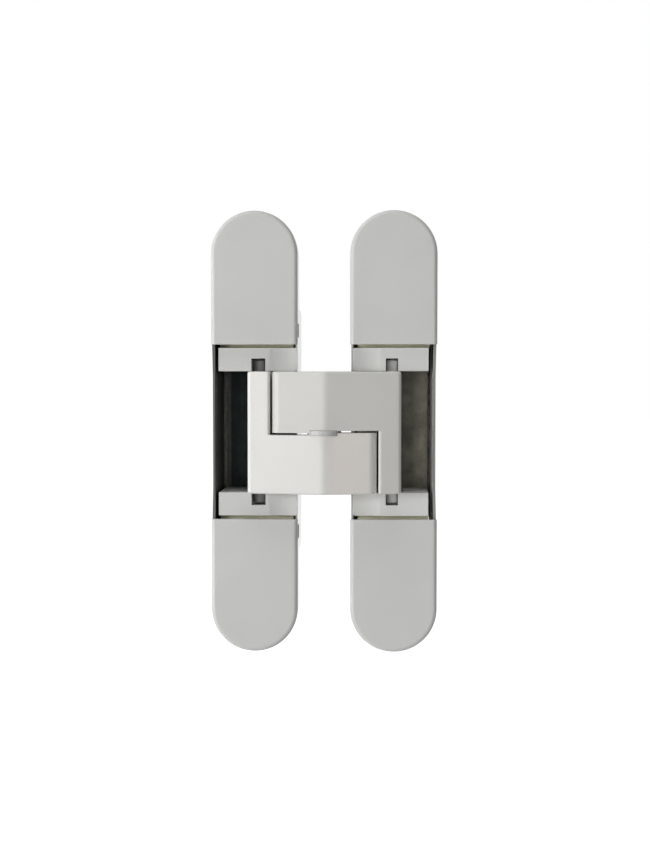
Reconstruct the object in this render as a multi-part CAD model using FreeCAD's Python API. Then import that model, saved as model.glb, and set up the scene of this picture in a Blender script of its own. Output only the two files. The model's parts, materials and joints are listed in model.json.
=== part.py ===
"""Concealed door hinge, open flat at 180 degrees, in millimetres.

Two mortise bodies, the frame side at -X and the door side at +X, are joined by two L-shaped arms
that cross at a centre pin. Each arm turns on a fixed pin in one body and slides with its long leg
in the curved guide grooves of the other. X runs across the two bodies, Y goes into the wood and Z
is up. The pieces are laid out about the centre pin and moved at the end, so that the origin is the
centre of the frame side's four fixing holes, on the back face of its shallow ends.
"""
import FreeCAD, Part
import math
import os

# Cover caps and mortise bodies
plate_width = 24.0
plate_length = 122.0
shallow_length = 25.0
cap_thickness = 1.4
cap_edge_radius = 1.2
half_gap = 7.25
linkage_shift = 0.3
cap_overhang = 0.25
casing_wall = 0.8
casing_depth = 26.0
casing_waist = 0.2
waist_end_inset = 11.8
waist_run = 9.0
waist_radius = 40.0
deep_corner_radius = 3.0
floor_depth = 13.2
rim_drop = 2.2
rim_slot_length = 3.9
rim_slot_height = 5.6
rim_slot_inset = 7.7
rim_slot_depth = 8.8

# Linkage
pivot_x = 11.65
pivot_depth = 8.0
centre_height = 5.2
slide_x = 18.5
slide_depth = 5.0
door_travel = 180.0
arm_turn = 95.0

# Arms
arm_cover = 3.8
facet_slope = 12.0
ridge_offset = 0.3
ridge_radius = 4.0
elbow_radius = 2.8
knuckle_radius = 2.7
leg_inner = 14.8
leg_wall = 2.5
leg_corner_radius = 1.2
leg_root_radius = 0.7
underside_reach = 9.0
leg_root_depth = 2.5
arm_gap = 0.6
arm_edge_radius = 0.6
root_radius = 0.8

# Pins, bush and washer
pivot_pin_radius = 1.8
slide_pin_radius = 1.6
slide_pin_reach = 3.2
centre_pin_radius = 2.0
centre_pin_cover = 3.2
bush_wall = 0.7
bush_end_gap = 0.7
washer_radius = 4.65
washer_thickness = 1.4
spacer_wall = 0.8
pin_chamfer = 0.3
running_gap = 0.05
press_gap = 0.01

# Guide blocks and cradles
deep_end_room = 11.25
block_height = 6.4
block_gap = 0.15
block_front = 1.6
block_flange = 1.8
block_lip = 1.25
block_corner_radius = 0.6
scoop_width = 8.0
scoop_depth = 0.5
groove_depth = 3.5
window_gap = 0.95
cradle_thickness = 1.5
cradle_back = 22.5
cradle_bend = 0.4
tongue_front = 4.1
tongue_margin = 6.4
tongue_corner_radius = 3.0

# Fasteners and end blocks
clamp_screw_inset = 4.0
clamp_screw_radius = 2.45
clamp_head_radius = 4.3
clamp_head_height = 2.4
fixing_spread = 10.0
fixing_inset = 7.5
fixing_radius = 2.3
countersink_radius = 4.1
post_radius = 1.5
post_length = 7.5
post_offsets = (-3.2, 4.4)
block_screw_radius = 1.5
block_screw_reach = 5.0
block_head_radius = 2.7
block_head_height = 1.8
block_screw_inner = (3.25, 17.8)
block_screw_outer = (3.3, 10.4)
end_gap = 0.4
sliding_gap = 0.1
height_travel = 2.0
side_travel_in = 0.4
side_travel_out = 0.8

# Sizes that follow from the ones above
centre_y = -centre_height
ridge_y = centre_y - arm_cover
underside_y = centre_y + arm_cover
leg_outer = slide_x + leg_wall
elbow_x = pivot_x + knuckle_radius
slide_turn = door_travel - arm_turn
body_centre = half_gap + plate_width / 2
end_radius = plate_width / 2
deep_half_length = plate_length / 2 - shallow_length
block_top = deep_half_length - deep_end_room - cradle_thickness
block_bottom = block_top - block_height
arm_half_height = block_bottom - block_gap
window_half = block_top + window_gap
centre_pin_half_length = arm_half_height - centre_pin_cover
bush_length = centre_pin_half_length - bush_end_gap - washer_thickness / 2 - sliding_gap
clamp_screw_place = deep_half_length + clamp_screw_inset
fixing_place = plate_length / 2 - fixing_inset
post_places = [fixing_place + offset for offset in post_offsets]
rim_slot_place = deep_half_length - rim_slot_inset
tongue_end = clamp_screw_place + tongue_margin
tongue_back = tongue_front + cradle_thickness
end_block_front = tongue_back + sliding_gap
slope = math.tan(math.radians(facet_slope))

ORIGIN = FreeCAD.Vector(-(body_centre + linkage_shift), floor_depth, 0)
ACROSS = FreeCAD.Vector(1, 0, 0)
INWARD = FreeCAD.Vector(0, 1, 0)
UP = FreeCAD.Vector(0, 0, 1)
CENTRE = FreeCAD.Vector(0, 0, 0)


class Side:
    """Sizes of one body, measured outwards from the centre pin, with x above zero."""

    def __init__(self, name, centre, wall_gap, cradle_gap, groove_gap, slot_spread):
        self.name = name
        self.centre = centre
        self.inner = centre - plate_width / 2 + cap_overhang
        self.outer = centre + plate_width / 2 - cap_overhang
        self.block_in = pivot_x - knuckle_radius - block_lip
        self.block_out = self.outer - casing_wall - wall_gap
        self.cradle_in = pivot_x - knuckle_radius
        self.cradle_out = self.outer - casing_wall - casing_waist - cradle_gap
        self.groove_width = slide_pin_radius + groove_gap
        self.screws = [(self.cradle_in + block_screw_inner[0], block_screw_inner[1]),
                       (self.block_out - block_screw_outer[0], block_screw_outer[1])]
        self.slot_spread = slot_spread

    def place(self, shape):
        """Puts a shape modelled at x above zero on its own side."""
        if self.name == "frame":
            return shape.mirror(CENTRE, ACROSS)
        return shape


FRAME = Side("frame", body_centre + linkage_shift, 0.95, 0.9, 0.35, (0.0, height_travel))
DOOR = Side("door", body_centre - linkage_shift, 1.35, side_travel_in + 0.4, 0.1,
            ((side_travel_in + side_travel_out) / 2, 0.0))


# Shape helpers

def vec(x, y, z):
    return FreeCAD.Vector(x, y, z)


def box(x0, x1, y0, y1, z0, z1):
    return Part.makeBox(x1 - x0, y1 - y0, z1 - z0, vec(x0, y0, z0))


def rod_z(x, y, z0, z1, radius):
    return Part.makeCylinder(radius, z1 - z0, vec(x, y, z0), UP)


def rod_y(x, z, y0, y1, radius):
    return Part.makeCylinder(radius, y1 - y0, vec(x, y0, z), INWARD)


def outline(corners, to_space):
    """Closed face through (u, v, radius) corners, each rounded by its own radius."""
    turns = []
    for i, (u, v, radius) in enumerate(corners):
        here = vec(u, v, 0)
        before = vec(corners[i - 1][0], corners[i - 1][1], 0) - here
        after = vec(corners[(i + 1) % len(corners)][0], corners[(i + 1) % len(corners)][1], 0) - here
        before.normalize()
        after.normalize()
        half = before.getAngle(after) / 2
        if radius == 0:
            turns.append((here, None, here))
            continue
        reach = radius / math.tan(half)
        middle = (before + after).normalize()
        centre = here + middle * (radius / math.sin(half))
        turns.append((here + before * reach, centre - middle * radius, here + after * reach))
    edges = []
    for i, (start, middle, end) in enumerate(turns):
        last = turns[i - 1][2]
        if (start - last).Length > 1e-6:
            edges.append(Part.LineSegment(to_space(last), to_space(start)).toShape())
        if middle is not None:
            edges.append(Part.Arc(to_space(start), to_space(middle), to_space(end)).toShape())
    return Part.Face(Part.Wire(edges))


def plan_prism(corners, z0, z1):
    """Solid with an outline seen from above, between two heights."""
    return outline(corners, lambda p: vec(p.x, p.y, z0)).extrude(UP * (z1 - z0))


def front_prism(corners, y0, y1):
    """Solid with an outline seen from the front, between two depths."""
    return outline(corners, lambda p: vec(p.x, y0, p.y)).extrude(INWARD * (y1 - y0))


def side_prism(corners, x0, x1):
    """Solid with an outline seen from the side, given as depth and height."""
    return outline(corners, lambda p: vec(x0, p.x, p.y)).extrude(ACROSS * (x1 - x0))


def round_edges(shape, radius, wanted):
    """Rounds the edges whose two ends and middle all pass the test."""
    edges = []
    for edge in shape.Edges:
        middle = edge.valueAt((edge.FirstParameter + edge.LastParameter) / 2)
        points = [vertex.Point for vertex in edge.Vertexes] + [middle]
        if all(wanted(point) for point in points):
            edges.append(edge)
    return shape.makeFillet(radius, edges)


def flip_z(shape):
    return shape.mirror(CENTRE, UP)


def half_turn(shape):
    """Turns a shape half round about the line of sight, which swaps left with right, top with bottom."""
    turned = shape.copy()
    turned.rotate(CENTRE, INWARD, 180)
    return turned


def waisted(side, inset, ends_z, radius):
    """Long outline of a body, drawn in by the inset, with a slight waist in its outer side."""
    x0 = side.inner + inset
    x1 = side.outer - inset
    end = ends_z - inset
    start = deep_half_length - waist_end_inset
    waist = [(x1, -start, waist_radius), (x1 - casing_waist, waist_run - start, waist_radius),
             (x1 - casing_waist, start - waist_run, waist_radius), (x1, start, waist_radius)]
    return [(x0, -end, radius), (x1, -end, radius)] + waist + [(x1, end, radius), (x0, end, radius)]


def stadium(side, inset, ends_z):
    """The waisted outline with round ends."""
    return waisted(side, inset, ends_z, end_radius - cap_overhang - inset)


# Linkage

def turn_about(point, centre, degrees):
    offset = point - centre
    angle = math.radians(degrees)
    x = offset.x * math.cos(angle) - offset.y * math.sin(angle)
    y = offset.x * math.sin(angle) + offset.y * math.cos(angle)
    return centre + vec(x, y, 0)


def slide_point(share):
    """Where the slide pin stands in its body when the door has made this share of its travel."""
    pivot = vec(pivot_x, pivot_depth, 0)
    centre_open = vec(0, centre_y, 0)
    centre = turn_about(centre_open, pivot, share * arm_turn)
    leg = turn_about(vec(slide_x, slide_depth, 0) - centre_open, CENTRE, share * slide_turn)
    return centre + leg


def groove_cutter(width, z0, z1):
    """Curved groove along the slide pin's own path, with its straight mouth in the front face."""
    steps = 10
    left = []
    right = []
    for i in range(steps + 1):
        share = i / steps
        here = slide_point(share)
        along = (slide_point(share + 0.01) - slide_point(share - 0.01)).normalize()
        across = vec(-along.y, along.x, 0) * width
        left.append(here + across)
        right.append(here - across)
    there = Part.BSplineCurve()
    there.interpolate(left)
    back = Part.BSplineCurve()
    back.interpolate(right)
    band = Part.Wire([there.toShape(), Part.LineSegment(left[-1], right[-1]).toShape(),
                      back.toShape(), Part.LineSegment(right[0], left[0]).toShape()])
    path = Part.Face(band).extrude(UP * (z1 - z0))
    path.translate(UP * z0)
    start = slide_point(0)
    end = slide_point(1)
    mouth = box(start.x - width, start.x + width, 0, start.y, z0, z1)
    rounds = [rod_z(start.x, start.y, z0, z1, width), rod_z(end.x, end.y, z0, z1, width)]
    return [path, mouth] + rounds


# Mortise bodies

def casing(side):
    """Pressed tub: shallow round ends, a deep middle box and a lowered rim beside the window."""
    half = plate_length / 2 - cap_overhang
    inset = casing_wall
    deep = deep_half_length
    radius = deep_corner_radius
    outside = front_prism(stadium(side, 0, half), cap_thickness, floor_depth)
    outside = outside.fuse(front_prism(waisted(side, 0, deep, radius), cap_thickness, casing_depth))
    outside = outside.removeSplitter()
    outside = round_edges(outside, radius / 2, lambda p: abs(p.y - casing_depth) < 0.01)
    hollow = front_prism(stadium(side, inset, half), 0, floor_depth - inset)
    pocket = front_prism(waisted(side, inset, deep, radius - inset), 0, casing_depth - inset)
    pocket = round_edges(pocket, radius / 2 - inset / 2,
                         lambda p: abs(p.y - casing_depth + inset) < 0.01)
    shell = outside.cut(hollow).cut(pocket)
    low = window_half + height_travel + 0.3
    shell = shell.cut(box(side.inner - 1, side.inner + casing_wall + 0.01,
                          0, cap_thickness + rim_drop, -low, low))
    for sign in (-1, 1):
        z = sign * rim_slot_place
        shell = shell.cut(box(side.inner - 1, side.inner + casing_wall + 1,
                              rim_slot_depth - rim_slot_height / 2, rim_slot_depth + rim_slot_height / 2,
                              z - rim_slot_length / 2, z + rim_slot_length / 2))
        for x in (side.centre - fixing_spread / 2, side.centre + fixing_spread / 2):
            shell = shell.cut(rod_y(x, sign * fixing_place, floor_depth - 2 * inset, floor_depth + 1,
                                    fixing_radius))
    return shell


def end_block(side):
    """Die-cast block in the shallow upper end, with fixing, clamp and cap post holes."""
    half = plate_length / 2 - cap_overhang
    inset = casing_wall + sliding_gap
    bottom = deep_half_length - casing_wall + end_gap
    front = end_block_front
    back = floor_depth - casing_wall
    body = front_prism(stadium(side, inset, half), front, back)
    body = body.cut(box(side.inner, side.outer, front - 1, back + 1, -plate_length, bottom))
    body = round_edges(body, arm_edge_radius, lambda p: abs(p.y - front) < 0.01)
    body = body.cut(rod_y(side.centre, clamp_screw_place, front, back, clamp_screw_radius + press_gap))
    sink = countersink_radius - fixing_radius
    for x in (side.centre - fixing_spread / 2, side.centre + fixing_spread / 2):
        body = body.cut(rod_y(x, fixing_place, front - 1, back + 1, fixing_radius))
        body = body.cut(Part.makeCone(countersink_radius, fixing_radius, sink,
                                      vec(x, front, fixing_place), INWARD))
    for z in post_places:
        body = body.cut(rod_y(side.centre, z, front - 1, back + 1, post_radius + running_gap))
    return body


def cap(side):
    """Cover cap over the upper end: round end, soft edges, inner rib and two push-in posts."""
    top = plate_length / 2
    edge = window_half
    x0 = side.centre - plate_width / 2
    x1 = side.centre + plate_width / 2
    radius = end_radius
    plate = front_prism([(x0, edge, 0), (x1, edge, 0), (x1, top, radius), (x0, top, radius)],
                        0, cap_thickness)
    plate = round_edges(plate, cap_edge_radius,
                        lambda p: abs(p.y) < 0.01
                        and not (abs(p.z - edge) < 0.01 and x0 + 0.01 < p.x < x1 - 0.01))
    inset = cap_overhang + casing_wall + sliding_gap
    rib = 1.0
    outer = [(x0 + inset, edge + 1, 0), (x1 - inset, edge + 1, 0),
             (x1 - inset, top - inset, radius - inset), (x0 + inset, top - inset, radius - inset)]
    inner = [(x0 + inset + rib, edge, 0), (x1 - inset - rib, edge, 0),
             (x1 - inset - rib, top - inset - rib, radius - inset - rib),
             (x0 + inset + rib, top - inset - rib, radius - inset - rib)]
    ring = front_prism(outer, cap_thickness, cap_thickness + rib)
    ring = ring.cut(front_prism(inner, cap_thickness - 1, cap_thickness + rib + 1))
    ring = ring.cut(box(x0, x1, 0, cap_thickness + rib + 1, 0, deep_half_length))
    body = plate.fuse(ring)
    for z in post_places:
        body = body.fuse(rod_y(side.centre, z, cap_thickness - 0.5, cap_thickness + post_length,
                               post_radius))
    return body.removeSplitter()


def clamp_screw(side):
    """Machine screw with a hexagon socket that clamps the cradle's tongue to the end block."""
    under = tongue_front - sliding_gap
    top = under - clamp_head_height
    z = clamp_screw_place
    head = rod_y(side.centre, z, top, under, clamp_head_radius)
    head = round_edges(head, 0.5, lambda p: abs(p.y - top) < 0.01)
    shank = rod_y(side.centre, z, under, floor_depth - casing_wall - 1, clamp_screw_radius)
    socket = Part.Face(Part.makePolygon(
        [vec(side.centre + 1.8 * math.cos(math.radians(60 * i)), top,
             z + 1.8 * math.sin(math.radians(60 * i))) for i in range(7)])).extrude(INWARD * 1.6)
    return head.fuse(shank).cut(socket)


# Carriers

def cradle(side):
    """Plated strip bent like a top hat, with a slotted tongue at each end."""
    t = cradle_thickness
    back = cradle_back
    inside = cradle_bend
    outside = cradle_bend + t
    half = [(tongue_back, tongue_end, 0), (tongue_back, block_top + t, inside),
            (back + t, block_top + t, outside)]
    near = [(back, block_top, inside), (tongue_front, block_top, outside), (tongue_front, tongue_end, 0)]
    lower_half = [(y, -z, r) for y, z, r in reversed(half)]
    lower_near = [(y, -z, r) for y, z, r in reversed(near)]
    strip = side_prism(half + lower_half + lower_near + near, side.cradle_in, side.cradle_out)
    strip = round_edges(strip, tongue_corner_radius, lambda p: abs(abs(p.z) - tongue_end) < 0.01
                        and (abs(p.x - side.cradle_in) < 0.01 or abs(p.x - side.cradle_out) < 0.01))
    middle = side.centre + (side_travel_out - side_travel_in) / 2 if side.slot_spread[0] else side.centre
    radius = clamp_screw_radius + 0.25
    spread_x, spread_z = side.slot_spread
    for sign in (-1, 1):
        z = sign * clamp_screw_place
        for step in (-1, 1):
            strip = strip.cut(rod_y(middle + step * spread_x, z + step * spread_z,
                                    tongue_front - 1, tongue_back + 1, radius))
        strip = strip.cut(box(middle - spread_x - (radius if spread_z else 0),
                              middle + spread_x + (radius if spread_z else 0),
                              tongue_front - 1, tongue_back + 1,
                              z - spread_z - (radius if spread_x else 0),
                              z + spread_z + (radius if spread_x else 0)))
        for x, y in side.screws:
            near_z = min(sign * block_top, sign * (block_top + t))
            strip = strip.cut(rod_z(x, y, near_z - 0.1, near_z + t + 0.1, block_screw_radius + sliding_gap))
    return strip


def guide_block(side):
    """Painted casting above the arms: front flange with a scoop, pivot bore and curved groove."""
    front = block_front
    step = front + block_flange
    bottom = block_bottom
    flange = box(side.block_in, side.block_out, front, step, bottom, block_top)
    body = box(side.cradle_in, side.block_out, step, cradle_back, bottom, block_top)
    shape = flange.fuse(body)
    shape = shape.removeSplitter()
    shape = round_edges(shape, block_corner_radius,
                        lambda p: p.y < step + 0.01 and (abs(p.x - side.block_in) < 0.01
                                                         or abs(p.x - side.block_out) < 0.01)
                        and (abs(p.z - bottom) < 0.01 or abs(p.z - block_top) < 0.01))
    shape = shape.cut(box(side.cradle_in - 1, side.block_out + 1, cradle_back - 1, cradle_back + 1,
                          block_top - 1, block_top + 1))
    bow = (scoop_width ** 2 / 4 + scoop_depth ** 2) / (2 * scoop_depth)
    shape = shape.cut(rod_z(pivot_x, front + scoop_depth - bow, bottom - 1, block_top + 1, bow))
    for cutter in groove_cutter(side.groove_width, bottom - 1, bottom + groove_depth):
        shape = shape.cut(cutter)
    shape = shape.cut(rod_z(pivot_x, pivot_depth, bottom - 1, block_top + 1, pivot_pin_radius + press_gap))
    for x, y in side.screws:
        shape = shape.cut(rod_z(x, y, block_top - block_screw_reach, block_top + 1,
                                block_screw_radius + press_gap))
    return shape


def block_screws(side):
    """Four short screws that hold the two guide blocks to the cradle."""
    top = block_top + cradle_thickness
    screws = []
    for x, y in side.screws:
        shank = rod_z(x, y, block_top - block_screw_reach + 0.2, top, block_screw_radius)
        head = rod_z(x, y, top, top + block_head_height, block_head_radius)
        head = round_edges(head, 0.6, lambda p: abs(p.z - top - block_head_height) < 0.01)
        slot = box(x - 0.4, x + 0.4, y - 2 * block_head_radius, y + 2 * block_head_radius,
                   top + block_head_height - 0.8, top + block_head_height + 1)
        screw = shank.fuse(head).cut(slot)
        screws += [screw, flip_z(screw)]
    return Part.makeCompound(screws)


def pivot_pin():
    reach = block_top - 0.2
    pin = rod_z(pivot_x, pivot_depth, -reach, reach, pivot_pin_radius)
    return pin.makeChamfer(pin_chamfer, [e for e in pin.Edges if abs(e.CenterOfMass.z) > reach - 0.01])


def pivot_spacer(sign):
    """Tube on the pivot pin that fills the half of the window without an arm."""
    far = block_bottom - running_gap
    near = sliding_gap
    z0, z1 = sorted((sign * near, sign * far))
    tube = rod_z(pivot_x, pivot_depth, z0, z1, pivot_pin_radius + running_gap + spacer_wall)
    return tube.cut(rod_z(pivot_x, pivot_depth, z0 - 1, z1 + 1, pivot_pin_radius + running_gap))


# Arms

def arm(centre_bore):
    """Upper arm: half-height bar from the left pivot, full-height leg in the right body."""
    top = arm_half_height
    elbow_y = ridge_y + (elbow_x + ridge_offset) * slope
    corner_y = ridge_y + (leg_outer - ridge_offset) * slope
    knuckle_end = pivot_depth + knuckle_radius
    leg_end = slide_depth + leg_wall
    plan = [(ridge_offset, ridge_y, ridge_radius), (leg_outer, corner_y, leg_corner_radius),
            (leg_outer, leg_end, leg_wall - 0.1), (leg_inner, leg_end, leg_wall - 0.5),
            (leg_inner, leg_root_depth, root_radius), (underside_reach, underside_y, root_radius),
            (knuckle_radius - pivot_x, underside_y, root_radius),
            (knuckle_radius - pivot_x, knuckle_end, knuckle_radius),
            (-elbow_x, knuckle_end, knuckle_radius), (-elbow_x, elbow_y, elbow_radius)]
    far = plate_width * 2
    bar = plan_prism(plan, 0, top)
    bar = round_edges(bar, arm_edge_radius, lambda p: abs(p.z - top) < 0.01)
    bar = bar.cut(box(0, far, -far, far, -1, arm_gap))
    root_y = ridge_y + (leg_inner - ridge_offset) * slope
    leg = plan_prism([(leg_inner, root_y, leg_root_radius), (leg_outer, corner_y, leg_corner_radius),
                      (leg_outer, leg_end, leg_wall - 0.1), (leg_inner, leg_end, leg_wall - 0.5)],
                     -top, arm_gap)
    leg = round_edges(leg, arm_edge_radius, lambda p: abs(p.z + top) < 0.01)
    body = bar.fuse(leg).removeSplitter()
    body = body.cut(rod_z(0, centre_y, -1, washer_thickness / 2 + running_gap, washer_radius + sliding_gap))
    body = body.cut(rod_z(0, centre_y, -1, centre_pin_half_length + 0.1, centre_bore))
    body = body.cut(rod_z(-pivot_x, pivot_depth, -1, top + 1, pivot_pin_radius + running_gap))
    return body.cut(rod_z(slide_x, slide_depth, -top - 1, top + 1, slide_pin_radius + press_gap))


def slide_pin():
    reach = arm_half_height + slide_pin_reach
    pin = rod_z(slide_x, slide_depth, -reach, reach, slide_pin_radius)
    return pin.makeChamfer(pin_chamfer, [e for e in pin.Edges if abs(e.CenterOfMass.z) > reach - 0.01])


def centre_pin():
    reach = centre_pin_half_length
    pin = rod_z(0, centre_y, -reach, reach, centre_pin_radius)
    return pin.makeChamfer(pin_chamfer, [e for e in pin.Edges if abs(e.CenterOfMass.z) > reach - 0.01])


def centre_bush():
    bottom = washer_thickness / 2 + sliding_gap
    bore = centre_pin_radius + running_gap
    tube = rod_z(0, centre_y, bottom, bottom + bush_length, bore + bush_wall)
    return tube.cut(rod_z(0, centre_y, bottom - 1, bottom + bush_length + 1, bore))


def centre_washer():
    half = washer_thickness / 2
    disc = rod_z(0, centre_y, -half, half, washer_radius)
    return disc.cut(rod_z(0, centre_y, -half - 1, half + 1, centre_pin_radius + press_gap))


# Nodes

def side_nodes(side):
    """All the pieces of one body; its upper and lower halves mirror each other."""
    name = side.name
    spacer_half = -1 if name == "frame" else 1
    screw = clamp_screw(side)
    nodes = {
        name + "_casing": casing(side),
        name + "_end_block_upper": end_block(side),
        name + "_end_block_lower": flip_z(end_block(side)),
        name + "_cap_upper": cap(side),
        name + "_cap_lower": flip_z(cap(side)),
        name + "_clamp_screws": Part.makeCompound([screw, flip_z(screw)]),
        name + "_cradle": cradle(side),
        name + "_guide_block_upper": guide_block(side),
        name + "_guide_block_lower": flip_z(guide_block(side)),
        name + "_block_screws": block_screws(side),
        name + "_pivot_pin": pivot_pin(),
        name + "_pivot_spacer": pivot_spacer(spacer_half),
    }
    return {node: side.place(shape) for node, shape in nodes.items()}


def arm_nodes():
    bush_bore = centre_pin_radius + running_gap + bush_wall + press_gap
    pin_bore = centre_pin_radius + press_gap
    return {
        "upper_arm": arm(bush_bore),
        "lower_arm": half_turn(arm(pin_bore)),
        "upper_arm_slide_pin": slide_pin(),
        "lower_arm_slide_pin": half_turn(slide_pin()),
        "centre_pin": centre_pin(),
        "centre_bush": centre_bush(),
        "centre_washer": centre_washer(),
    }


def main():
    os.makedirs("parts", exist_ok=True)
    nodes = {}
    nodes.update(side_nodes(FRAME))
    nodes.update(side_nodes(DOOR))
    nodes.update(arm_nodes())
    for name, shape in nodes.items():
        shape.translate(CENTRE - ORIGIN)
        shape.exportStep("parts/" + name + ".step")


main()
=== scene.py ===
"""Concealed door hinge, open flat, in matt pale grey paint with bare steel inside.

Places are in metres: X runs from the frame side to the door side, Y into the wood and Z up.
"""
import json
import math

import bpy
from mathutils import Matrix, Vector

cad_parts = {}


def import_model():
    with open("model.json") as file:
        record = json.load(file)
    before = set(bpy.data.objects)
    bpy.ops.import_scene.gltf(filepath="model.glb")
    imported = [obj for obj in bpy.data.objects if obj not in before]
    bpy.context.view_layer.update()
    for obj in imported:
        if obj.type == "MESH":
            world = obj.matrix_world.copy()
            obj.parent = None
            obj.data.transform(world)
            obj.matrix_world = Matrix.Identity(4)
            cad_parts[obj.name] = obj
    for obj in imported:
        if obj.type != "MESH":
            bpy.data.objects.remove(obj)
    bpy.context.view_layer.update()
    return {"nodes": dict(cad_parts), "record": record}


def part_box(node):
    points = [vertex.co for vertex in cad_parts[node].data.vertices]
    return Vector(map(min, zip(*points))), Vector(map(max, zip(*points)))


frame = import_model()

NODES = frame["nodes"]

# Noise scales along the axes
EVEN = (1, 1, 1)
TURNED = (0.08, 0.08, 1)
DRAWN = (1, 1, 0.05)

# Noise cells per metre
METAL_MARKS = 1500
METAL_CLOUD = 160

# Limits of the zones that differ in colour, most of them zones of painted shade and painted light, and
# how softly they end
FAR = 1.0
BLUR = 0.0001
POCKET_HALF = 0.0356
POCKET_SIDE = 0.00045
POCKET_BACK = 0.0004
WINDOW_HALF = 0.0165
WINDOW_BLUR = 0.0015
DEEP_WALL = (-0.002, 0.0114)
DEEP_BLUR = 0.002
BACK_CORNER = 0.0095
CORNER_BLUR = 0.0003
RIM_DEPTH = 0.00008
RIM_BLUR = 0.00004
RIM_BORDER = (0.00078, 0.00086)
PAINTED_REFLECTION_FACE = (0.0217, 0.0312)
PAINTED_REFLECTION_BLUR = 0.0018
PLATE_HALF = 0.0231
PLATE_EDGE_HIGHLIGHT = (0.0008, 0.0014)
PLATE_LIGHT_FADE = (0.0440, 0.0475)

# Bump depths
FINE_MARKS = 0.000004
FAINT_MARKS = 0.000001

# Shares of a colour between which it varies
STRONG = (0.8, 1.2)
STRONGER = (0.75, 1.25)
WORN = (0.7, 1.2)

# Modifiers on each node
WELD_DISTANCE = 0.000002
BEVEL_WIDTH = 0.00012
BEVEL_ANGLE = 35

# Stage
AMBIENT = 0.18
FLOOR_SIZE = 12
FLOOR_LEVEL = -0.16
FLOOR_GREY = 0.8
FLOOR_GLOW = 0.88

# Camera; azimuth 0 is in front of the hinge and 90 on its right
AIM = Vector((0.0196, -0.0132, -0.0005))
CAMERA_AZIMUTH = 2.2
CAMERA_ELEVATION = 2.1
CAMERA_DISTANCE = 0.399
CAMERA_LENS = 60.0
CAMERA_SENSOR = 36.0

# Name, azimuth, elevation, distance, size and power
LIGHTS = (
    ("key", -52, 3, 1.1, 0.3, 7.5),
    ("front", -4, 6, 1.4, 0.8, 0.85),
    ("right", 50, 8, 1.2, 0.7, 0.2),
    ("left", -95, 4, 1.1, 0.5, 2.0),
    ("over", -10, 78, 1.2, 0.7, 5.0),
)


# Material nodes

def new_material(name):
    """An empty node material with its shader, and the object coordinates to draw on."""
    mat = bpy.data.materials.new(name)
    mat.use_nodes = True
    tree = mat.node_tree
    tree.nodes.clear()
    out = tree.nodes.new("ShaderNodeOutputMaterial")
    shader = tree.nodes.new("ShaderNodeBsdfPrincipled")
    coords = tree.nodes.new("ShaderNodeTexCoord")
    tree.links.new(shader.outputs["BSDF"], out.inputs["Surface"])
    return mat, tree, shader, coords.outputs["Object"]


def math_node(tree, operation, first, second):
    """The result of one operation on two inputs, each of which is a socket or a number."""
    node = tree.nodes.new("ShaderNodeMath")
    node.operation = operation
    for socket, value in zip(node.inputs, (first, second)):
        if isinstance(value, (int, float)):
            socket.default_value = value
        else:
            tree.links.new(value, socket)
    return node.outputs["Value"]


def map_range(tree, value, source=(0.0, 1.0), target=(0.0, 1.0)):
    """A value carried over from one range to another, and held within it."""
    node = tree.nodes.new("ShaderNodeMapRange")
    node.inputs["From Min"].default_value, node.inputs["From Max"].default_value = source
    node.inputs["To Min"].default_value, node.inputs["To Max"].default_value = target
    tree.links.new(value, node.inputs["Value"])
    return node.outputs["Result"]


def noise(tree, coords, stretch, scale, detail=3.0, rough=0.55):
    """Noise of the given cells per metre, scaled along the axes."""
    mapping = tree.nodes.new("ShaderNodeMapping")
    mapping.inputs["Scale"].default_value = stretch
    tex = tree.nodes.new("ShaderNodeTexNoise")
    tex.inputs["Scale"].default_value = scale
    tex.inputs["Detail"].default_value = detail
    tex.inputs["Roughness"].default_value = rough
    tree.links.new(coords, mapping.inputs["Vector"])
    tree.links.new(mapping.outputs["Vector"], tex.inputs["Vector"])
    return tex.outputs["Fac"]


def spread(tree, value, low, high):
    """The middle of a noise spread out between two values."""
    return map_range(tree, value, (0.3, 0.7), (low, high))


def tint(tree, value, first, second):
    """A colour between two, chosen by a noise."""
    ramp = tree.nodes.new("ShaderNodeValToRGB")
    for element, position, colour in zip(ramp.color_ramp.elements, (0.3, 0.7), (first, second)):
        element.position = position
        element.color = (*colour, 1)
    tree.links.new(value, ramp.inputs["Fac"])
    return ramp.outputs["Color"]


def shades(tree, value, colour, shares=(0.975, 1.02)):
    """An unevenness about one colour, between two shares of it."""
    return tint(tree, value, *(tuple(c * share for c in colour) for share in shares))


def within(tree, coords, limits, blur=BLUR):
    """One inside the given limits on the axes, and nought outside, with soft edges."""
    split = tree.nodes.new("ShaderNodeSeparateXYZ")
    tree.links.new(coords, split.inputs["Vector"])
    result = None
    for axis, low, high in limits:
        for source in ((low - blur, low + blur), (high + blur, high - blur)):
            step = map_range(tree, split.outputs[axis], source)
            result = step if result is None else math_node(tree, "MULTIPLY", result, step)
    return result


def across(tree, coords, start, end):
    """Nought to one along X between two places."""
    return within(tree, coords, [("X", (start + end) / 2, FAR)], (end - start) / 2)


def layer(tree, factor, under, over):
    """One colour laid over another where the factor is one."""
    node = tree.nodes.new("ShaderNodeMix")
    node.data_type = "RGBA"
    tree.links.new(factor, node.inputs[0])
    tree.links.new(under, node.inputs[6])
    tree.links.new(over, node.inputs[7])
    return node.outputs[2]


def facing(tree, toward):
    """One where the surface faces along X, to the given side, and nought where it is askew."""
    coords = tree.nodes.new("ShaderNodeTexCoord")
    split = tree.nodes.new("ShaderNodeSeparateXYZ")
    tree.links.new(coords.outputs["Normal"], split.inputs["Vector"])
    return map_range(tree, split.outputs["X"], (0.75 * toward, 0.98 * toward))


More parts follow.
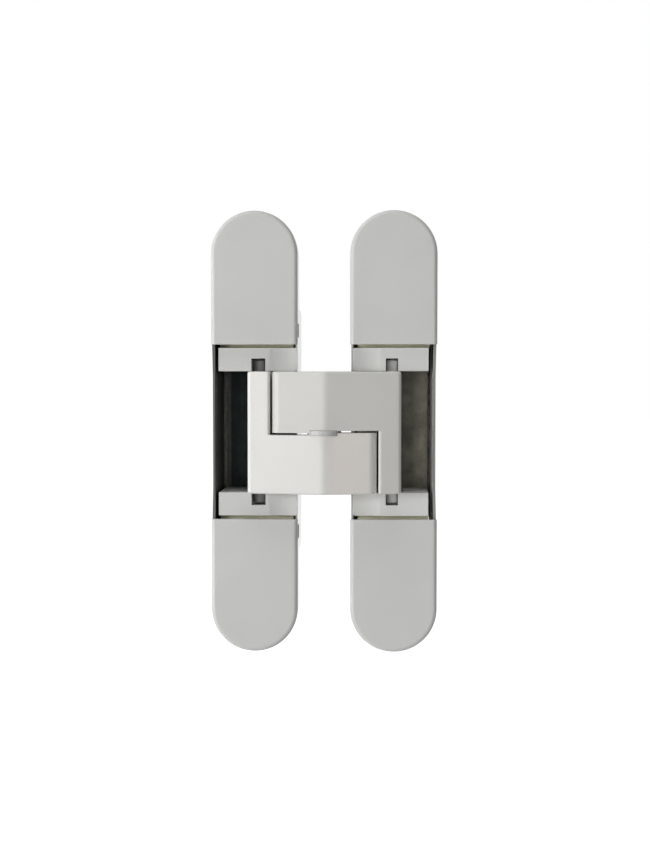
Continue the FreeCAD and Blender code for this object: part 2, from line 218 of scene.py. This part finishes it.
def bump(tree, value, depth, before=None):
    """A bump of the given depth, laid over an earlier one."""
    node = tree.nodes.new("ShaderNodeBump")
    node.inputs["Strength"].default_value = 1.0
    node.inputs["Distance"].default_value = depth
    tree.links.new(value, node.inputs["Height"])
    if before is not None:
        tree.links.new(before, node.inputs["Normal"])
    return node.outputs["Normal"]


# Materials

def paint(name, colour, rosy=None):
    """Matt powder paint: faint orange peel, fine grain and a slight unevenness of colour; where rosy
    is given, a rosy tint on one face between limits on X, which is a painted reflection.
    """
    mat, tree, shader, coords = new_material(name)
    cloud = noise(tree, coords, EVEN, 45, 2)
    peel = noise(tree, coords, EVEN, 900, 2)
    grain = noise(tree, coords, EVEN, 5200, 2)
    base = shades(tree, cloud, colour)
    if rosy is not None:
        # Painted reflection: a rosy tint laid on one face between limits on X
        face = within(tree, coords, [("X", *PAINTED_REFLECTION_FACE)], PAINTED_REFLECTION_BLUR)
        base = layer(tree, face, base, shades(tree, cloud, rosy))
    tree.links.new(base, shader.inputs["Base Color"])
    tree.links.new(spread(tree, peel, 0.42, 0.54), shader.inputs["Roughness"])
    normal = bump(tree, grain, 0.000006, bump(tree, peel, 0.00001))
    tree.links.new(normal, shader.inputs["Normal"])
    shader.inputs["Specular IOR Level"].default_value = 0.4
    return mat


def brushed(name, first, second, rough, stretch, metal=1.0):
    """Turned or plated metal with a cloudy colour, duller where it is less than all metal."""
    mat, tree, shader, coords = new_material(name)
    marks = noise(tree, coords, stretch, METAL_MARKS)
    cloud = noise(tree, coords, EVEN, METAL_CLOUD, 4, 0.65)
    tree.links.new(tint(tree, cloud, first, second), shader.inputs["Base Color"])
    tree.links.new(spread(tree, marks, *rough), shader.inputs["Roughness"])
    tree.links.new(bump(tree, marks, FINE_MARKS), shader.inputs["Normal"])
    shader.inputs["Metallic"].default_value = metal
    return mat


def casing_metal(node, beside, deep, window, rim, border, toward):
    """Drawn steel: grey outside, with lower roughness and a lighter tone on the side toward the other
    body, which is a painted reflection; inside it holds painted shade and painted light.

    The tones are those of the pocket beside the guide blocks, deeper down there and behind the window,
    then of the rim's face and of its inner border on the side of low X. The dark ones are painted
    shade and the pale ones painted light, the back corner behind the window pale in both casings.
    """
    mat, tree, shader, coords = new_material(f"{node}_steel")
    low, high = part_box(node)
    marks = noise(tree, coords, DRAWN, METAL_MARKS)
    cloud = noise(tree, coords, EVEN, METAL_CLOUD, 4, 0.65)

    # Masks for the tones inside, which are painted shade and painted light: the pocket, its window,
    # its deep wall, its back corner, and the rim with its border
    in_pocket = within(tree, coords, [("X", low[0] + POCKET_SIDE, high[0] - POCKET_SIDE),
                                      ("Y", -FAR, high[1] - POCKET_BACK),
                                      ("Z", -POCKET_HALF, POCKET_HALF)])
    in_window = within(tree, coords, [("Z", -WINDOW_HALF, WINDOW_HALF)], WINDOW_BLUR)
    on_rim = within(tree, coords, [("Y", -FAR, low[1] + RIM_DEPTH)], RIM_BLUR)
    on_border = across(tree, coords, low[0] + RIM_BORDER[0], low[0] + RIM_BORDER[1])
    deep_down = within(tree, coords, [("Y", *DEEP_WALL)], DEEP_BLUR)
    in_corner = within(tree, coords, [("Y", BACK_CORNER, FAR)], CORNER_BLUR)
    outside = math_node(tree, "SUBTRACT", 1.0, in_pocket)
    smooth_and_painted_lighter = math_node(tree, "MULTIPLY", outside, facing(tree, toward))

    # Painted shade and painted light in the pocket, in the tones each casing is given
    beside_blocks = layer(tree, deep_down, shades(tree, cloud, beside, STRONG),
                          shades(tree, cloud, deep, STRONG))
    behind_window = layer(tree, in_corner, shades(tree, cloud, window, STRONG),
                          shades(tree, cloud, (0.9, 0.89, 0.86), (0.9, 1.05)))
    pocket = layer(tree, in_window, beside_blocks, behind_window)
    # Painted reflection: the outside is lighter on the side facing the other body
    shell = layer(tree, smooth_and_painted_lighter, shades(tree, cloud, (0.42, 0.42, 0.41), (0.93, 1.07)),
                  shades(tree, cloud, (0.62, 0.62, 0.61), (0.97, 1.03)))
    # The rim's face and its border: on the frame casing they are dark painted shade, the border near
    # black
    edge = layer(tree, on_border, shades(tree, marks, rim, WORN), shades(tree, marks, border, WORN))
    base = layer(tree, on_rim, layer(tree, in_pocket, shell, pocket), edge)
    tree.links.new(base, shader.inputs["Base Color"])

    rough = math_node(tree, "ADD", math_node(tree, "MULTIPLY", smooth_and_painted_lighter, -0.44),
                      spread(tree, marks, 0.6, 0.72))
    tree.links.new(rough, shader.inputs["Roughness"])
    tree.links.new(bump(tree, marks, FINE_MARKS), shader.inputs["Normal"])
    shader.inputs["Metallic"].default_value = 1.0
    return mat


def cradle_metal(node, near, far, change, stretch, depth):
    """Yellow zinc plating, with a back plate that is painted dark as painted shade and changes tone
    along X, as a painted highlight on the frame plate and as painted light on the door plate.
    """
    mat, tree, shader, coords = new_material(f"{node}_steel")
    marks = noise(tree, coords, stretch, METAL_MARKS)
    cloud = noise(tree, coords, EVEN, 260, 4, 0.65)
    plating = shades(tree, cloud, (0.92, 0.90, 0.71), (0.9, 1.1))
    # The back plate's two tones along X are painted shade with painted light beside it
    plate = layer(tree, across(tree, coords, *change), shades(tree, cloud, near, STRONGER),
                  shades(tree, cloud, far, STRONGER))
    on_plate = within(tree, coords, [("Z", -PLATE_HALF, PLATE_HALF)])
    tree.links.new(layer(tree, on_plate, plating, plate), shader.inputs["Base Color"])
    tree.links.new(spread(tree, marks, 0.28, 0.4), shader.inputs["Roughness"])
    tree.links.new(bump(tree, marks, depth), shader.inputs["Normal"])
    tree.links.new(map_range(tree, on_plate, target=(0.5, 1.0)), shader.inputs["Metallic"])
    return mat


def cast(name, first, second):
    """Bare die-cast zinc alloy, with a sandy grain."""
    mat, tree, shader, coords = new_material(name)
    grain = noise(tree, coords, EVEN, 2200, 4)
    cloud = noise(tree, coords, EVEN, 90)
    tree.links.new(tint(tree, cloud, first, second), shader.inputs["Base Color"])
    tree.links.new(spread(tree, grain, 0.45, 0.65), shader.inputs["Roughness"])
    tree.links.new(bump(tree, grain, 0.00002), shader.inputs["Normal"])
    shader.inputs["Metallic"].default_value = 0.85
    return mat


def plastic(name, colour):
    """Moulded plastic with a fine eroded texture."""
    mat, tree, shader, coords = new_material(name)
    grain = noise(tree, coords, EVEN, 3000)
    tree.links.new(shades(tree, grain, colour, (0.93, 1.05)), shader.inputs["Base Color"])
    tree.links.new(spread(tree, grain, 0.4, 0.6), shader.inputs["Roughness"])
    tree.links.new(bump(tree, grain, 0.000008), shader.inputs["Normal"])
    return mat


PIN_ROUGH = (0.62, 0.72)
BRIGHT_ROUGH = (0.25, 0.38)
PIN_METAL = 0.3

FINISHES = {
    "grey_paint": paint("pale_grey_paint", (0.63, 0.624, 0.595)),
    "bare_casting": cast("bare_zinc_casting", (0.46, 0.46, 0.45), (0.54, 0.54, 0.53)),
    "pin_steel": brushed("ground_pin_steel", (0.63, 0.63, 0.615), (0.69, 0.69, 0.67),
                         PIN_ROUGH, TURNED, PIN_METAL),
    "screw_steel": brushed("bright_screw_steel", (0.58, 0.58, 0.56), (0.66, 0.66, 0.64),
                           BRIGHT_ROUGH, EVEN),
    "bush_brass": brushed("turned_brass", (0.60, 0.44, 0.20), (0.68, 0.52, 0.27),
                          BRIGHT_ROUGH, TURNED),
    "dark_polymer": plastic("dark_moulded_polymer", (0.05, 0.05, 0.052)),
    "grey_polymer": plastic("grey_moulded_polymer", (0.50, 0.50, 0.49)),
}

CAP_PAINT = paint("pale_grey_cap_paint", (0.60, 0.60, 0.586))
# A lighter copy of the block paint for the door's guide blocks, as painted light where the caps and
# casing shade them
DOOR_BLOCK_LIT_PAINT = paint("pale_grey_block_paint_painted_light", (0.67, 0.67, 0.652))
PLATE_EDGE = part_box("frame_cradle")[0][0]

# Nodes whose finish differs from the rest of their slot, several of them by painted light and painted
# shade
OWN_FINISHES = {
    # The lower arm gets a lighter copy of the arm paint as painted light, with a painted rosy
    # reflection on its facet toward the door
    "lower_arm": paint("pale_grey_arm_paint_painted_light", (0.745, 0.738, 0.71), (0.765, 0.724, 0.683)),
    # The lower arm's slide pin gets a darker copy of the pin steel as painted shade, for the deep
    # groove it runs in
    "lower_arm_slide_pin": brushed("pin_steel_painted_shade", (0.20, 0.20, 0.195), (0.235, 0.235, 0.23),
                                   PIN_ROUGH, TURNED, PIN_METAL),
    # Frame casing: near black painted shade in the pocket beside the blocks, a little lighter behind
    # the window, pale painted light in the back corner, and a dark rim with a near black border as
    # painted shade
    "frame_casing": casing_metal("frame_casing", (0.05, 0.05, 0.047), (0.05, 0.05, 0.047),
                                 (0.13, 0.13, 0.125), (0.12, 0.12, 0.115), (0.012, 0.012, 0.011), 1),
    # Door casing: dark painted shade beside the blocks near the front, and pale painted light on the
    # deeper wall, behind the window and in the back corner, standing in for reflections, with a grey
    # rim
    "door_casing": casing_metal("door_casing", (0.12, 0.12, 0.115), (0.9, 0.89, 0.86),
                                (0.95, 0.94, 0.9), (0.2, 0.2, 0.19), (0.2, 0.2, 0.19), -1),
    # Frame cradle: a near black back plate as painted shade, with a painted highlight along its edge
    # at low X
    "frame_cradle": cradle_metal("frame_cradle", (0.044, 0.043, 0.042), (0.0108, 0.0132, 0.0126),
                                 [PLATE_EDGE + step for step in PLATE_EDGE_HIGHLIGHT], (1, 1, 0.04), FINE_MARKS),
    # Door cradle: a dark back plate as painted shade, painted lighter toward its edge at high X as
    # painted light
    "door_cradle": cradle_metal("door_cradle", (0.055, 0.053, 0.043), (0.118, 0.112, 0.091),
                                PLATE_LIGHT_FADE, EVEN, FAINT_MARKS),
}
# The door's guide blocks take the lighter copy as painted light; the frame's take the cap paint
for side_name, block_paint in (("frame", CAP_PAINT), ("door", DOOR_BLOCK_LIT_PAINT)):
    for end_name in ("upper", "lower"):
        OWN_FINISHES[f"{side_name}_cap_{end_name}"] = CAP_PAINT
        OWN_FINISHES[f"{side_name}_guide_block_{end_name}"] = block_paint


def finish_nodes():
    """Gives each node its material, a fine bevel on its sharp edges and even shading.

    The guide blocks are shaded across their blunt edges, so that their hollows start softly.
    """
    slots = {part["node"]: part["material_slot"] for part in frame["record"]["subparts"]}
    for name, obj in NODES.items():
        mat = OWN_FINISHES.get(name) or FINISHES[slots[name]]
        obj.data.materials.clear()
        obj.data.materials.append(mat)
        weld = obj.modifiers.new("weld", "WELD")
        weld.merge_threshold = WELD_DISTANCE
        bevel = obj.modifiers.new("bevel", "BEVEL")
        bevel.width = BEVEL_WIDTH
        bevel.segments = 2
        bevel.limit_method = "ANGLE"
        bevel.angle_limit = math.radians(BEVEL_ANGLE)
        bevel.harden_normals = True
        evened = obj.modifiers.new("evened", "WEIGHTED_NORMAL")
        evened.keep_sharp = "guide_block" not in name


# Stage

def seen_directly(tree):
    """One for camera, mirror and glass rays, and nought for those that light the hinge."""
    path = tree.nodes.new("ShaderNodeLightPath")
    result = path.outputs["Is Camera Ray"]
    for kind in ("Is Glossy Ray", "Is Transmission Ray"):
        result = math_node(tree, "MAXIMUM", result, path.outputs[kind])
    return result


def stage():
    """A wide pale floor well below the hinge."""
    bpy.ops.mesh.primitive_plane_add(size=FLOOR_SIZE, location=(0, 0, FLOOR_LEVEL))
    floor = bpy.context.object
    floor.name = "floor"
    mat = bpy.data.materials.new("floor_white")
    mat.use_nodes = True
    tree = mat.node_tree
    tree.nodes.clear()
    out = tree.nodes.new("ShaderNodeOutputMaterial")
    diffuse = tree.nodes.new("ShaderNodeBsdfDiffuse")
    diffuse.inputs["Color"].default_value = (FLOOR_GREY, FLOOR_GREY, FLOOR_GREY, 1)
    glow = tree.nodes.new("ShaderNodeEmission")
    level = math_node(tree, "MULTIPLY", seen_directly(tree), FLOOR_GLOW)
    add = tree.nodes.new("ShaderNodeAddShader")
    tree.links.new(level, glow.inputs["Strength"])
    tree.links.new(diffuse.outputs["BSDF"], add.inputs[0])
    tree.links.new(glow.outputs["Emission"], add.inputs[1])
    tree.links.new(add.outputs["Shader"], out.inputs["Surface"])
    floor.data.materials.append(mat)


def world():
    """White to the camera and in reflections, and a weaker even light on the hinge."""
    sky = bpy.data.worlds.new("white_room")
    bpy.context.scene.world = sky
    sky.use_nodes = True
    tree = sky.node_tree
    tree.nodes.clear()
    out = tree.nodes.new("ShaderNodeOutputWorld")
    back = tree.nodes.new("ShaderNodeBackground")
    back.inputs["Color"].default_value = (1, 1, 1, 1)
    level = map_range(tree, seen_directly(tree), target=(AMBIENT, 1.0))
    tree.links.new(level, back.inputs["Strength"])
    tree.links.new(back.outputs["Background"], out.inputs["Surface"])


def direction(azimuth, elevation):
    """Unit vector from the hinge towards a place round it."""
    a = math.radians(azimuth)
    e = math.radians(elevation)
    return Vector((math.sin(a) * math.cos(e), -math.cos(a) * math.cos(e), math.sin(e)))


def place(name, data, azimuth, elevation, distance):
    """An object round the hinge that looks at it."""
    obj = bpy.data.objects.new(name, data)
    bpy.context.collection.objects.link(obj)
    toward = direction(azimuth, elevation)
    obj.location = AIM + toward * distance
    obj.rotation_euler = (-toward).to_track_quat("-Z", "Y").to_euler()
    return obj


def camera():
    """The photograph's view, a little from the right and from above."""
    data = bpy.data.cameras.new("camera")
    data.lens = CAMERA_LENS
    data.sensor_width = CAMERA_SENSOR
    data.clip_start = 0.01
    obj = place("camera", data, CAMERA_AZIMUTH, CAMERA_ELEVATION, CAMERA_DISTANCE)
    bpy.context.scene.camera = obj


def area_light(name, azimuth, elevation, distance, size, power):
    """A square soft light."""
    data = bpy.data.lights.new(name, "AREA")
    data.size = size
    data.energy = power
    place(name, data, azimuth, elevation, distance)


finish_nodes()
stage()
world()
camera()
for light in LIGHTS:
    area_light(*light)

bpy.context.scene.view_settings.view_transform = "Standard"
